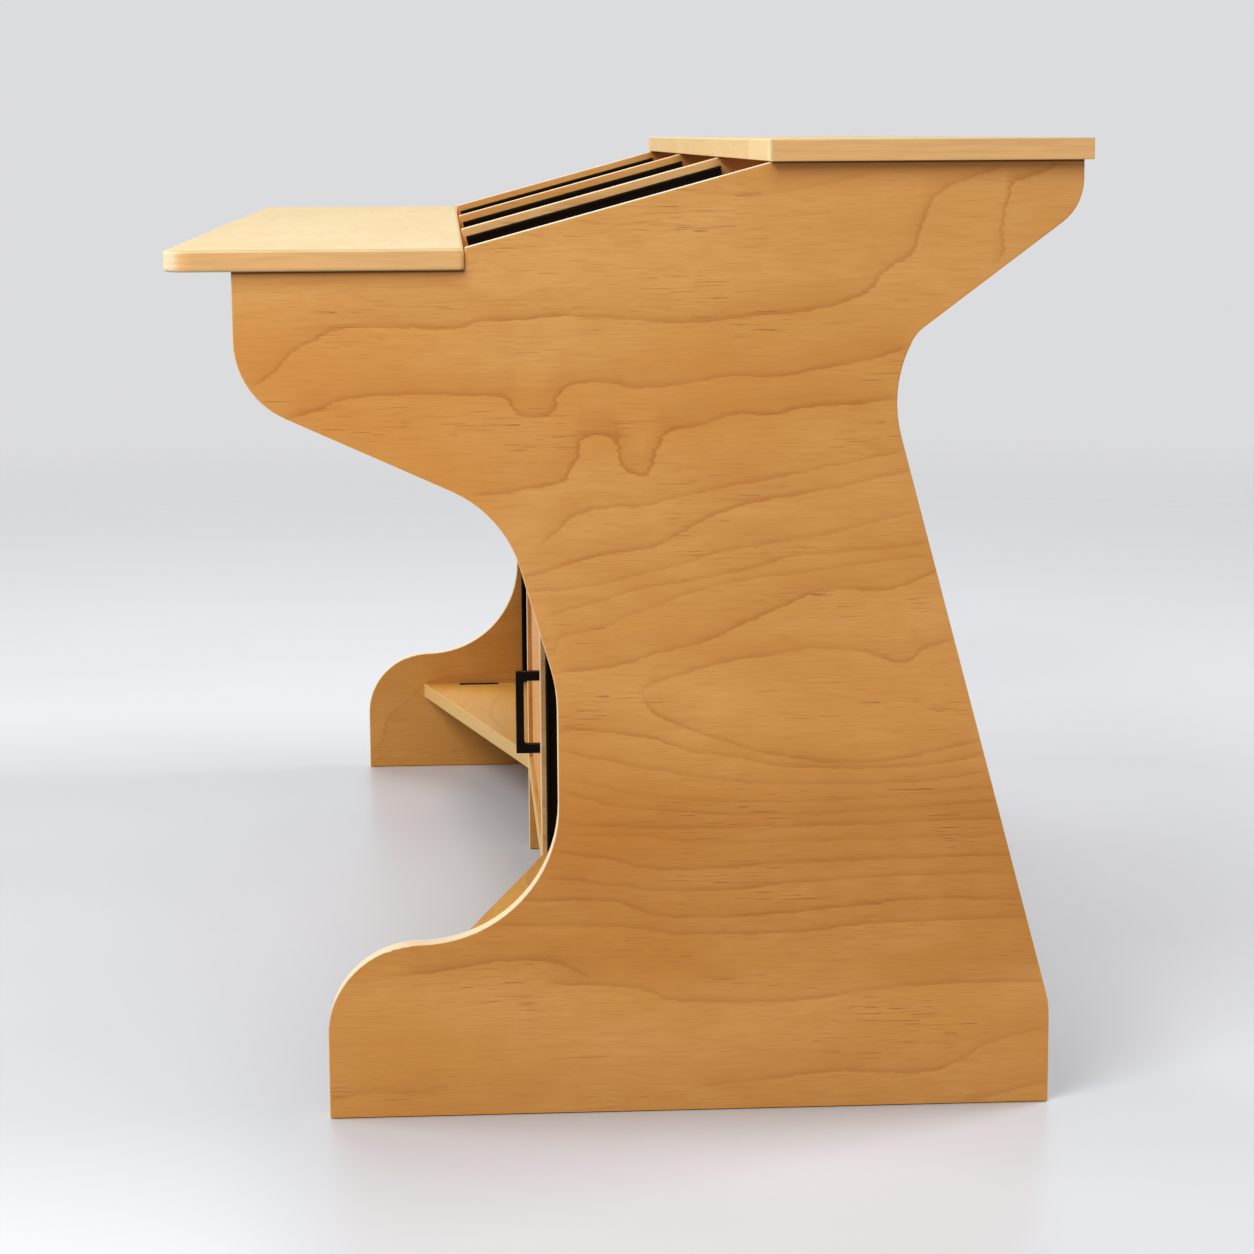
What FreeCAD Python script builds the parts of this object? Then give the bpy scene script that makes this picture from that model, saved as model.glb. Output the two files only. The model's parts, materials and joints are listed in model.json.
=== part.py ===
"""Studio desk with three sloped rack bays, two lower rack bays and a middle door bay.

Millimetres. +X is the sitter's right, +Y points from the sitter to the back, +Z is up.
The origin is on the floor, midway across the width and midway between the front of the
desktop and the back of the monitor shelf.
"""
import FreeCAD, Part
import math
import os

V = FreeCAD.Vector

# Boards and bays
board_thickness = 18.0
bay_count = 3
bay_names = ["left", "middle", "right"]
middle_bay = 1
edge_ease = 1.2

# Desktop
desktop_height = 745.0
desktop_depth = 249.0
desktop_side_overhang = 5.0
desktop_corner_radius = 25.0
desktop_rear_radius = 4.0
desktop_ease = 3.0
desktop_gap = 1.0

# Nineteen-inch rack standard
rack_panel_width = 482.6
rack_pitch = 44.45
rack_hole_edge = 8.75
rack_panel_overlap = 16.3
rack_hole_radius = 2.5
rack_hole_shares = [1 / 7, 1 / 2, 6 / 7]
rack_side_play = 0.7
rack_end_play = 0.8
slope_units = 6
slope_angle = 15.0

# Monitor shelf
top_depth = 271.0
top_front_overhang = 4.0
top_side_overhang = 7.0
top_rear_overhang = 7.0
top_ease = 0.8
lipping_thickness = 2.0
lipping_short_length = 195.0
lipping_seam = 0.3

# Side panel outline: setbacks are measured from the front edge of the desktop, insets from the
# rear edge of the monitor shelf, heights from the underside of the panel's foot, and drops from the
# underside of the desktop (arm, thigh) or of the monitor shelf (waist, tail); the knee lies at a share
# of the way from the top of the instep curve to the thigh; the brow, where the underside of the tail
# turns down to the waist, is placed from the waist, whose round takes a share of the run between them
arm_setback = 56.7
arm_drop = 103.0
arm_radius = 72.0
thigh_setback = 279.3
thigh_drop = 204.4
thigh_radius = 104.0
knee_setback = 323.0
knee_share = 0.395
knee_radius = 139.0
foot_setback = 123.0
foot_height = 152.0
toe_radius = 79.5
instep_flat = 1.0
heel_inset = 25.8
heel_height = 87.9
heel_radius = 95.0
waist_inset = 169.9
waist_drop = 189.1
waist_share = 0.96
brow_run = 22.9
brow_rise = 45.9
brow_radius = 32.0
tail_drop = 38.7
tail_radius = 44.5

# Bottom shelves
shelf_top_height = 111.0
shelf_wing = 126.0
shelf_rear_inset = 4.0
notch_setback = 47.0
notch_length = 52.0
notch_width = 12.0
grommet_wall = 1.5

# Boards inside the bays
bay_floor_drop = 181.0
front_wall_inset = 1.0
back_panel_inset = 4.0
back_panel_rise = 26.0
cable_gap = 70.0
cross_rail_height = 15.0
cross_rail_depth = 60.0
cross_rail_inset = 48.0

# Rack rails
rail_thickness = 2.0
rail_bend_radius = 1.8
rail_leg = 25.0
rail_end_gap = 3.0
slope_rail_recess = 7.8
lower_rail_recess = 5.2
lower_rail_lift = 2.0
rail_screw_shares = [0.12, 0.5, 0.88]
rail_screw_stagger = 7.0
rail_screw_drop = 15.0

# Rail and catch screws
screw_radius = 1.9
screw_bite = 12.0
screw_head_radius = 3.6
screw_head_height = 2.2
screw_slot_width = 1.0
screw_slot_depth = 1.2
screw_clearance = 0.1

# Door of the middle bay
door_recess = 5.0
door_side_gap = 2.0
door_end_gap = 3.0
pin_radius = 3.0
pin_seat = 16.0
pin_reach = 10.0
pin_running_clearance = 0.05
bush_radius = 5.0
bush_flange_radius = 7.5
bush_end_play = 0.2
bush_floor = 1.0

# Pull on the door
pull_centres = 76.0
pull_leg = 9.2
pull_bar_depth = 8.2
pull_width = 10.0
pull_projection = 28.6
pull_inner_radius = 3.5
pull_edge_ease = 0.8
pull_edge_distance = 40.0
pull_height = 248.0
pull_screw_radius = 2.0
pull_screw_head_radius = 4.0
pull_screw_head_height = 2.4
pull_screw_grip = 12.0

# Magnetic catch
catch_length = 46.0
catch_depth = 15.0
catch_height = 13.0
catch_edge_distance = 70.0
catch_gap = 0.3
strike_length = 34.0
strike_height = 24.0
strike_thickness = 1.5
strike_screw_drop = 7.0
catch_screw_shares = [0.18, 0.82]

# Floor glides
glide_height = 1.0
glide_radius = 6.0
glide_ease = 0.4
nail_radius = 1.2
nail_length = 15.0
glide_inset = 30.0

# Dowels
dowel_radius = 4.0
dowel_in_edge = 19.0
dowel_in_face = 11.0
dowel_clearance = 0.1
dowel_stagger = 14.0
shelf_dowel_shares = [0.3, 0.8]
floor_dowel_shares = [0.15, 0.75]
wall_dowel_shares = [0.25, 0.7]
back_dowel_shares = [0.2, 0.75]
cross_rail_dowel_shares = [0.15, 0.6]
desktop_dowel_shares = [0.35, 0.8]
top_dowel_shares = [0.45, 0.8]

# One overrun for every cut
overrun = 1.0

# Worked-out sizes
bay_width = rack_panel_width + 2 * rack_side_play
rail_flange = rack_panel_overlap + rack_side_play
rack_hole_x = rack_panel_width / 2 - rack_hole_edge
slope_length = slope_units * rack_pitch + rack_end_play
slope_run = slope_length * math.cos(math.radians(slope_angle))
slope_rise = slope_length * math.sin(math.radians(slope_angle))
top_underside = desktop_height + slope_rise
desk_depth = desktop_depth + slope_run - top_front_overhang + top_depth
carcass_width = bay_count * bay_width + (bay_count + 1) * board_thickness
bay_pitch = bay_width + board_thickness
front_y = -desk_depth / 2
rear_y = desk_depth / 2
desktop_rear_y = front_y + desktop_depth
slope_top_y = desktop_rear_y + slope_run
top_front_y = slope_top_y - top_front_overhang
desktop_underside = desktop_height - board_thickness
arm_height = desktop_underside - arm_drop
thigh_height = desktop_underside - thigh_drop
bay_floor_height = desktop_underside - bay_floor_drop
bay_floor_top = bay_floor_height + board_thickness
back_panel_top = bay_floor_top + back_panel_rise
waist_height = top_underside - waist_drop
brow_height = waist_height + brow_rise
tail_height = top_underside - tail_drop
instep_radius = knee_setback - foot_setback - toe_radius - instep_flat
instep_top = foot_height + instep_radius
knee_height = instep_top + knee_share * (thigh_height - instep_top)
arm_y = front_y + arm_setback
knee_y = front_y + knee_setback
foot_y = front_y + foot_setback
heel_y = rear_y - heel_inset
waist_y = rear_y - waist_inset
brow_y = waist_y + brow_run
tail_y = rear_y - top_rear_overhang
step_y = desktop_rear_y + desktop_gap
shelf_underside = shelf_top_height - board_thickness
lower_units = int((bay_floor_height - shelf_top_height - lower_rail_lift) / rack_pitch)
rear_lean = (heel_y - waist_y) / (waist_height - heel_height)
rear_lean_angle = math.atan(rear_lean)
door_front_y = knee_y + door_recess
door_back_y = door_front_y + board_thickness
door_axis_y = door_front_y + board_thickness / 2
door_axis_x = -bay_width / 2 + door_side_gap + board_thickness / 2
door_free_x = bay_width / 2 - door_side_gap
door_bottom = shelf_top_height + door_end_gap
door_top = bay_floor_height - door_end_gap
catch_x = door_free_x - catch_edge_distance


def slope_height(y):
    """Height of the slope's top edge at a place y."""
    return desktop_height + (y - desktop_rear_y) * math.tan(math.radians(slope_angle))


def rear_edge_y(height):
    """Place of the leaning rear edge of the panels at a height."""
    return heel_y - (height - heel_height) * rear_lean


def half_turn(before, corner, after):
    """Half the angle by which an outline turns at a corner; the three places are (y, z)."""
    coming = V(0, corner[0] - before[0], corner[1] - before[1])
    going = V(0, after[0] - corner[0], after[1] - corner[1])
    return coming.getAngle(going) / 2


def waist_radius():
    """Radius whose round takes its share of the run between the waist corner and the brow's round."""
    heel = (heel_y, heel_height)
    waist = (waist_y, waist_height)
    brow = (brow_y, brow_height)
    tail = (tail_y, tail_height)
    run = math.dist(waist, brow) - brow_radius * math.tan(half_turn(waist, brow, tail))
    return waist_share * run / math.tan(half_turn(heel, waist, brow))


def shelf_rear_y():
    """Rear edge of the bottom shelves."""
    return rear_edge_y(shelf_top_height) - shelf_rear_inset


def bay_centre(bay):
    """Middle of a bay across the width."""
    return (bay - middle_bay) * bay_pitch


def upright_x(index):
    """Left face of an upright, counted from the left side panel."""
    return -carcass_width / 2 + index * bay_pitch


def box(x0, x1, y0, y1, z0, z1):
    """Block between two corners."""
    return Part.makeBox(x1 - x0, y1 - y0, z1 - z0, V(x0, y0, z0))


def rod(start, direction, radius, length):
    """Round bar from a start point along a direction."""
    return Part.makeCylinder(radius, length, start, direction)


def rounded_wire(corners):
    """Closed wire in the YZ plane through corners (y, z, radius), each rounded by its radius."""
    edges = []
    joints = []
    count = len(corners)
    for i, (y, z, radius) in enumerate(corners):
        corner = V(0, y, z)
        before = V(0, *corners[i - 1][:2]).sub(corner).normalize()
        after = V(0, *corners[(i + 1) % count][:2]).sub(corner).normalize()
        if radius == 0:
            joints.append((corner, corner, None))
            continue
        half = before.getAngle(after) / 2
        reach = radius / math.tan(half)
        middle = before.add(after).normalize()
        centre = corner.add(middle * (radius / math.sin(half)))
        joints.append((corner.add(before * reach), corner.add(after * reach), centre.sub(middle * radius)))
    for i, (start, end, arc_point) in enumerate(joints):
        if arc_point is not None:
            edges.append(Part.Arc(start, arc_point, end).toShape())
        edges.append(Part.LineSegment(end, joints[(i + 1) % count][0]).toShape())
    return Part.Wire(edges)


def board_from_outline(corners, x0, thickness):
    """Board with a rounded outline in YZ, from x0 along X."""
    face = Part.Face(rounded_wire(corners))
    face.translate(V(x0, 0, 0))
    return face.extrude(V(thickness, 0, 0))


def ease(shape, radius, keep):
    """Round the edges that keep() picks."""
    edges = [edge for edge in shape.Edges if keep(edge.BoundBox)]
    return shape.makeFillet(radius, edges)


def arris(shape, x0, x1):
    """Ease the outline edges of an upright board on both faces, apart from those on the floor."""
    def on_face(b):
        flat = b.XLength < edge_ease / 2
        face_edge = abs(b.XMin - x0) < edge_ease / 2 or abs(b.XMin - x1) < edge_ease / 2
        return flat and face_edge and b.ZMax > edge_ease
    return ease(shape, edge_ease, on_face)


def long_ease(shape):
    """Ease the edges that run across a bay."""
    return ease(shape, edge_ease, lambda b: b.XLength > bay_width / 2)


def upper_corners():
    """Outline shared by all uprights, from the knee up over the arm, slope and tail to the heel."""
    return [
        (knee_y, knee_height, knee_radius),
        (front_y + thigh_setback, thigh_height, thigh_radius),
        (arm_y, arm_height, arm_radius),
        (arm_y, desktop_underside, 0),
        (step_y, desktop_underside, 0),
        (step_y, slope_height(step_y), 0),
        (slope_top_y, top_underside, 0),
        (tail_y, top_underside, 0),
        (tail_y, tail_height, tail_radius),
        (brow_y, brow_height, brow_radius),
        (waist_y, waist_height, waist_radius()),
        (heel_y, heel_height, heel_radius),
        (heel_y, 0, 0),
    ]


def side_panel(index):
    """Shaped end board with the stepped foot."""
    foot = [(foot_y, 0, 0), (foot_y, foot_height, toe_radius), (knee_y, foot_height, instep_radius)]
    x0 = upright_x(index)
    return arris(board_from_outline(foot + upper_corners(), x0, board_thickness), x0, x0 + board_thickness)


def divider(index):
    """Inner upright with a straight leg."""
    x0 = upright_x(index)
    corners = [(knee_y, 0, 0)] + upper_corners()
    return arris(board_from_outline(corners, x0, board_thickness), x0, x0 + board_thickness)


def desktop():
    """Front desktop with round front corners, smaller rear ones and eased edges."""
    half = carcass_width / 2 + desktop_side_overhang
    shape = box(-half, half, front_y, desktop_rear_y, desktop_underside, desktop_height)
    shape = ease(shape, desktop_corner_radius,
                 lambda b: b.ZLength > board_thickness / 2 and b.YMax < front_y + desktop_ease)
    shape = ease(shape, desktop_rear_radius,
                 lambda b: b.ZLength > board_thickness / 2 and b.YMin > desktop_rear_y - desktop_ease)
    return ease(shape, desktop_ease, lambda b: b.ZLength < desktop_ease / 2)


def top_shelf():
    """Monitor shelf behind its front lipping."""
    half = carcass_width / 2 + top_side_overhang
    shape = box(-half, half, top_front_y + lipping_thickness, rear_y,
                top_underside, top_underside + board_thickness)
    return ease(shape, top_ease, lambda b: b.YMax > rear_y - top_ease)


def top_lipping():
    """Front lipping of the monitor shelf in a long and a short length."""
    half = carcass_width / 2 + top_side_overhang
    seam = half - lipping_short_length
    ends = [(-half, seam - lipping_seam / 2), (seam + lipping_seam / 2, half)]
    strips = []
    for x0, x1 in ends:
        strip = box(x0, x1, top_front_y, top_front_y + lipping_thickness,
                    top_underside, top_underside + board_thickness)
        strips.append(ease(strip, top_ease,
                           lambda b: b.YMax < top_front_y + top_ease and b.ZLength < top_ease))
    return Part.makeCompound(strips)


def bottom_shelf(bay):
    """Bottom shelf; the outer ones widen forwards to the side panel and have a cable notch there."""
    x0 = bay_centre(bay) - bay_width / 2
    x1 = x0 + bay_width
    shelf_rear = shelf_rear_y()
    wing_left = shelf_wing if bay < middle_bay else 0
    wing_right = shelf_wing if bay > middle_bay else 0
    outline = [
        V(x0, knee_y - wing_left, shelf_underside),
        V(x1, knee_y - wing_right, shelf_underside),
        V(x1, shelf_rear, shelf_underside),
        V(x0, shelf_rear, shelf_underside),
    ]
    shape = Part.Face(Part.makePolygon(outline + outline[:1])).extrude(V(0, 0, board_thickness))
    front_limit = knee_y + edge_ease / 2
    shape = ease(shape, edge_ease, lambda b: b.YMax < front_limit and b.ZLength < edge_ease)
    if bay == middle_bay:
        return shape
    return shape.cut(notch_block(bay, 0, overrun))


def notch_block(bay, wall, reach):
    """Space of a cable notch at the outer end of a shelf, less a wall all round, reaching past the board."""
    outer_end = bay_centre(bay) - bay_width / 2
    if bay > middle_bay:
        outer_end = bay_centre(bay) + bay_width / 2 - notch_width
    notch_y = knee_y - shelf_wing + notch_setback
    return box(outer_end + wall, outer_end + notch_width - wall,
               notch_y + wall, notch_y + notch_length - wall,
               shelf_underside - reach, shelf_top_height + reach)


def cable_grommets():
    """Black sleeves that line the two cable notches."""
    outer_bays = [0, bay_count - 1]
    return Part.makeCompound([notch_block(bay, 0, 0).cut(notch_block(bay, grommet_wall, overrun))
                              for bay in outer_bays])


def front_wall_faces():
    """Front and rear face places of the front walls, in line with the underside of the arms."""
    dive = (arm_height - thigh_height) / (thigh_setback - arm_setback)
    front = arm_y + (arm_height - bay_floor_height) / dive + front_wall_inset
    return front, front + board_thickness


def front_wall(bay):
    """Upright board under the rear part of the desktop."""
    x0 = bay_centre(bay) - bay_width / 2
    front, rear = front_wall_faces()
    return long_ease(box(x0, x0 + bay_width, front, rear, bay_floor_height, desktop_underside))


def back_panel_face(height):
    """Inner face of the leaning back panel at a height."""
    return rear_edge_y(height) - (back_panel_inset + board_thickness) / math.cos(rear_lean_angle)


def bay_floor(bay):
    """Board between front wall and back panel, under the sloped rack bay."""
    x0 = bay_centre(bay) - bay_width / 2
    front = front_wall_faces()[1]
    corners = [
        (front, bay_floor_height, 0),
        (back_panel_face(bay_floor_height), bay_floor_height, 0),
        (back_panel_face(bay_floor_top), bay_floor_top, 0),
        (front, bay_floor_top, 0),
    ]
    return board_from_outline(corners, x0, bay_width)


def back_panel(bay):
    """Leaning board along the rear edges of the uprights, open below it for cables."""
    x0 = bay_centre(bay) - bay_width / 2
    bottom = shelf_top_height + cable_gap
    across = board_thickness / math.cos(rear_lean_angle)
    corners = [
        (back_panel_face(bottom), bottom, 0),
        (back_panel_face(bottom) + across, bottom, 0),
        (back_panel_face(back_panel_top) + across, back_panel_top, 0),
        (back_panel_face(back_panel_top), back_panel_top, 0),
    ]
    return long_ease(board_from_outline(corners, x0, bay_width))


def cross_rail(bay):
    """Batten under the monitor shelf, behind the top of the slope."""
    x0 = bay_centre(bay) - bay_width / 2
    front = slope_top_y + cross_rail_inset
    return long_ease(box(x0, x0 + bay_width, front, front + cross_rail_depth,
                         top_underside - cross_rail_height, top_underside))


def slope_placement(bay):
    """From rail space to a sloped bay: Y runs up the slope, Z stands square on it."""
    return FreeCAD.Placement(V(bay_centre(bay), desktop_rear_y, desktop_height),
                             FreeCAD.Rotation(V(1, 0, 0), slope_angle))


def lower_placement(bay):
    """From rail space to a lower bay: Y runs up, Z faces the sitter."""
    return FreeCAD.Placement(V(bay_centre(bay), knee_y, shelf_top_height),
                             FreeCAD.Rotation(V(1, 0, 0), 90))


def rail_screw_places(start, length, side):
    """Places of the rail screws along the rail, staggered between the two sides of a bay."""
    return [start + share * length + side * rail_screw_stagger for share in rail_screw_shares]


def rack_rail(side, start, units, recess, placement):
    """Steel angle with a row of rack holes; side is -1 or 1 for the left or right wall of the bay."""
    length = units * rack_pitch - 2 * rail_end_gap
    wall = side * bay_width / 2
    inner = wall - side * rail_thickness
    tip = wall - side * rail_flange
    y0 = start + rail_end_gap
    leg = box(min(wall, inner), max(wall, inner), y0, y0 + length, -recess - rail_leg, -recess)
    flange = box(min(wall, tip), max(wall, tip), y0, y0 + length, -recess - rail_thickness, -recess)
    rail = leg.fuse(flange).removeSplitter()
    bend = -recess - rail_thickness / 2

    def on_bend(b):
        at_wall = abs(b.XMin - wall) < rail_thickness / 2
        return at_wall and b.YLength > length / 2 and b.ZMin > bend
    rail = ease(rail, rail_bend_radius, on_bend)
    cuts = []
    hole_foot = -recess - rail_thickness - overrun
    for unit in range(units):
        for share in rack_hole_shares:
            foot = V(side * rack_hole_x, start + (unit + share) * rack_pitch, hole_foot)
            cuts.append(rod(foot, V(0, 0, 1), rack_hole_radius, rail_thickness + 2 * overrun))
    for place in rail_screw_places(y0, length, side):
        cuts.append(rod(V(wall + side * overrun, place, -recess - rail_screw_drop), V(-side, 0, 0),
                        screw_radius + screw_clearance, rail_thickness + 2 * overrun))
    rail = rail.cut(Part.makeCompound(cuts))
    rail.Placement = placement.multiply(rail.Placement)
    return rail


def wood_screw(head_seat, direction, grip):
    """Pan-head screw on head_seat: it runs along direction through a grip and bites into the board."""
    shank = rod(head_seat, direction, screw_radius, grip + screw_bite)
    head = rod(head_seat, direction * -1, screw_head_radius, screw_head_height)
    across = V(direction.y, direction.z, direction.x)
    other = direction.cross(across)
    slot_floor = head_seat.sub(direction * (screw_head_height - screw_slot_depth))
    shape = shank.fuse(head)
    for long_side, short_side in ((across, other), (other, across)):
        corner = slot_floor.sub(long_side * (screw_head_radius / 2)).sub(short_side * (screw_slot_width / 2))
        points = [
            corner,
            corner.add(long_side * screw_head_radius),
            corner.add(long_side * screw_head_radius).add(short_side * screw_slot_width),
            corner.add(short_side * screw_slot_width),
        ]
        slot = Part.Face(Part.makePolygon(points + points[:1]))
        shape = shape.cut(slot.extrude(direction * -(screw_slot_depth + overrun)))
    return shape


def screw_bore(head_seat, direction, grip):
    """Hole that a wood screw needs in what lies under its head."""
    return rod(head_seat, direction, screw_radius + screw_clearance, grip + screw_bite + screw_clearance)


def rail_screw_seats(side, start, units, recess, placement):
    """Head seat, direction and grip of one rail's screws."""
    length = units * rack_pitch - 2 * rail_end_gap
    inner = side * (bay_width / 2 - rail_thickness)
    seats = []
    for place in rail_screw_places(start + rail_end_gap, length, side):
        seat = placement.multVec(V(inner, place, -recess - rail_screw_drop))
        seats.append((seat, V(side, 0, 0), rail_thickness))
    return seats


def door():
    """Inset door board; its hinge edge is round about the pivot axis."""
    block = box(door_axis_x, door_free_x, door_front_y, door_back_y, door_bottom, door_top)
    round_edge = rod(V(door_axis_x, door_axis_y, door_bottom), V(0, 0, 1),
                     board_thickness / 2, door_top - door_bottom)
    board = block.fuse(round_edge).removeSplitter()
    tall = (door_top - door_bottom) / 2
    board = ease(board, edge_ease, lambda b: b.XMin > door_free_x - edge_ease and b.ZLength > tall)
    for foot in (door_bottom - overrun, door_top - pin_seat):
        board = board.cut(rod(V(door_axis_x, door_axis_y, foot), V(0, 0, 1), pin_radius, pin_seat + overrun))
    for start, direction, length in pull_screw_lines():
        board = board.cut(rod(start, direction, pull_screw_radius + screw_clearance, length))
    return board.cut(screw_bore(*strike_screw_seat()))


def pivot_pins():
    """Steel pins in the door's lower and upper end."""
    length = pin_seat + pin_reach
    feet = [door_bottom - pin_reach, door_top - pin_seat]
    return Part.makeCompound([rod(V(door_axis_x, door_axis_y, foot), V(0, 0, 1), pin_radius, length)
                              for foot in feet])


def pivot_bush(seat, up):
    """Flanged bush let into the board at seat; up is 1 under the door and -1 above it."""
    axis = V(0, 0, up)
    mouth = door_end_gap - bush_end_play
    depth = pin_reach - door_end_gap + bush_floor
    body = rod(V(door_axis_x, door_axis_y, seat), axis * -1, bush_radius, depth)
    flange = rod(V(door_axis_x, door_axis_y, seat), axis, bush_flange_radius, mouth)
    bore = rod(V(door_axis_x, door_axis_y, seat).add(axis * (mouth + overrun)), axis * -1,
               pin_radius + pin_running_clearance, mouth + overrun + depth - bush_floor / 2)
    return body.fuse(flange).removeSplitter().cut(bore)


def pivot_bushes():
    """Bushes in the bottom shelf and the bay floor."""
    return Part.makeCompound([pivot_bush(shelf_top_height, 1), pivot_bush(bay_floor_height, -1)])


def bush_bores():
    """Holes for the two bushes."""
    length = pin_reach - door_end_gap + bush_floor + overrun
    lower = V(door_axis_x, door_axis_y, shelf_top_height + overrun)
    upper = V(door_axis_x, door_axis_y, bay_floor_height - overrun)
    return [rod(lower, V(0, 0, -1), bush_radius, length), rod(upper, V(0, 0, 1), bush_radius, length)]


def pull():
    """Black D-shaped pull with two legs and a flat bar."""
    x0 = door_free_x - pull_edge_distance - pull_width / 2
    outer_y = door_front_y - pull_projection
    half = (pull_centres + pull_leg) / 2
    low = pull_height - half
    high = pull_height + half
    body = box(x0, x0 + pull_width, outer_y, door_front_y, low, high)
    gap_corners = [
        (outer_y + pull_bar_depth, low + pull_leg, pull_inner_radius),
        (door_front_y + overrun, low + pull_leg, 0),
        (door_front_y + overrun, high - pull_leg, 0),
        (outer_y + pull_bar_depth, high - pull_leg, pull_inner_radius),
    ]
    body = body.cut(board_from_outline(gap_corners, x0 - overrun, pull_width + 2 * overrun))
    body = ease(body, pull_edge_ease, lambda b: b.YMax < outer_y + pull_edge_ease)
    for start, direction, length in pull_screw_lines():
        body = body.cut(rod(start, direction, pull_screw_radius + screw_clearance, length + screw_clearance))
    return body


def pull_screw_lines():
    """Start, direction and length of the pull's two screws, from the back of the door."""
    x = door_free_x - pull_edge_distance
    heights = [pull_height - pull_centres / 2, pull_height + pull_centres / 2]
    return [(V(x, door_back_y, z), V(0, -1, 0), board_thickness + pull_screw_grip) for z in heights]


def pull_screws():
    """Machine screws that hold the pull from behind."""
    screws = []
    for start, direction, length in pull_screw_lines():
        head = rod(start, direction * -1, pull_screw_head_radius, pull_screw_head_height)
        head_top = start.y + pull_screw_head_height
        slot = box(start.x - pull_screw_head_radius, start.x + pull_screw_head_radius,
                   head_top - screw_slot_depth, head_top + overrun,
                   start.z - screw_slot_width / 2, start.z + screw_slot_width / 2)
        screws.append(rod(start, direction, pull_screw_radius, length).fuse(head).cut(slot))
    return Part.makeCompound(screws)


def catch_front_y():
    """Front face of the magnetic catch, just clear of the strike plate."""
    return door_back_y + strike_thickness + catch_gap


def catch_screw_seats():
    """Head seat, direction and grip of the catch's screws, up into the bay floor."""
    x0 = catch_x - catch_length / 2
    y = catch_front_y() + catch_depth / 2
    return [(V(x0 + share * catch_length, y, bay_floor_height - catch_height), V(0, 0, 1), catch_height)
            for share in catch_screw_shares]


def door_catch():
    """Magnetic catch under the bay floor."""
    x0 = catch_x - catch_length / 2
    y0 = catch_front_y()
    body = box(x0, x0 + catch_length, y0, y0 + catch_depth,
               bay_floor_height - catch_height, bay_floor_height)
    body = ease(body, edge_ease, lambda b: b.ZLength > catch_height / 2)
    return drilled(body, [screw_bore(*seat) for seat in catch_screw_seats()])


def strike_screw_seat():
    """Head seat, direction and grip of the strike plate's screw, into the back of the door."""
    height = bay_floor_height - catch_height - strike_screw_drop
    return V(catch_x, door_back_y + strike_thickness, height), V(0, -1, 0), strike_thickness


def strike_plate():
    """Steel plate on the back of the door that the catch holds."""
    x0 = catch_x - strike_length / 2
    top = door_top - edge_ease
    plate = box(x0, x0 + strike_length, door_back_y, door_back_y + strike_thickness, top - strike_height, top)
    return plate.cut(screw_bore(*strike_screw_seat()))


def glide_places(index):
    """Places of the two glides under an upright."""
    x = upright_x(index) + board_thickness / 2
    front = foot_y if index in (0, bay_count) else knee_y
    return [V(x, front + glide_inset, 0), V(x, heel_y - glide_inset, 0)]


def floor_glides():
    """Nail-on glides under all uprights."""
    glides = []
    for index in range(bay_count + 1):
        for place in glide_places(index):
            disc = rod(place, V(0, 0, -1), glide_radius, glide_height)
            disc = ease(disc, glide_ease, lambda b: b.ZMax < -glide_height + glide_ease)
            glides.append(disc.fuse(rod(place, V(0, 0, 1), nail_radius, nail_length)))
    return Part.makeCompound(glides)


def glide_bores(index):
    """Nail holes of an upright's glides."""
    return [rod(place.sub(V(0, 0, overrun)), V(0, 0, 1), nail_radius, nail_length + overrun)
            for place in glide_places(index)]


def between(low, high, shares):
    """Places at shares of the way from low to high."""
    return [low + share * (high - low) for share in shares]


def bay_dowel_places(bay):
    """Centres (y, z) of the dowels at the ends of each board of a bay, by kind of board."""
    shift = dowel_stagger if bay == middle_bay else 0
    half = board_thickness / 2
    wall_front, wall_rear = front_wall_faces()
    back_half = (back_panel_inset + half) / math.cos(rear_lean_angle)
    back_bottom = shelf_top_height + cable_gap
    rail_front = slope_top_y + cross_rail_inset
    return {
        "bottom_shelf": [(y + shift, shelf_top_height - half)
                         for y in between(knee_y, shelf_rear_y(), shelf_dowel_shares)],
        "bay_floor": [(y + shift, bay_floor_height + half)
                      for y in between(wall_rear, back_panel_face(bay_floor_top), floor_dowel_shares)],
        "front_wall": [((wall_front + wall_rear) / 2, z + shift)
                       for z in between(bay_floor_height, desktop_underside, wall_dowel_shares)],
        "back_panel": [(rear_edge_y(z + shift) - back_half, z + shift)
                       for z in between(back_bottom, back_panel_top, back_dowel_shares)],
        "cross_rail": [(y + shift, top_underside - cross_rail_height / 2)
                       for y in between(rail_front, rail_front + cross_rail_depth, cross_rail_dowel_shares)],
    }


def dowel_line(joint, inward):
    """Start, direction and length of a dowel whose inward end lies in a board's edge."""
    return joint.sub(inward * dowel_in_face), inward, dowel_in_edge + dowel_in_face


def bay_dowel_lines(kind):
    """Dowels of one kind of board in all bays."""
    lines = []
    for bay in range(bay_count):
        for y, z in bay_dowel_places(bay)[kind]:
            for side in (-1, 1):
                joint = V(bay_centre(bay) + side * bay_width / 2, y, z)
                lines.append(dowel_line(joint, V(-side, 0, 0)))
    return lines


def upright_dowel_lines(height, low, high, shares):
    """Standing dowels in the top edges of all uprights."""
    lines = []
    for index in range(bay_count + 1):
        x = upright_x(index) + board_thickness / 2
        lines += [dowel_line(V(x, y, height), V(0, 0, -1)) for y in between(low, high, shares)]
    return lines


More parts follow.
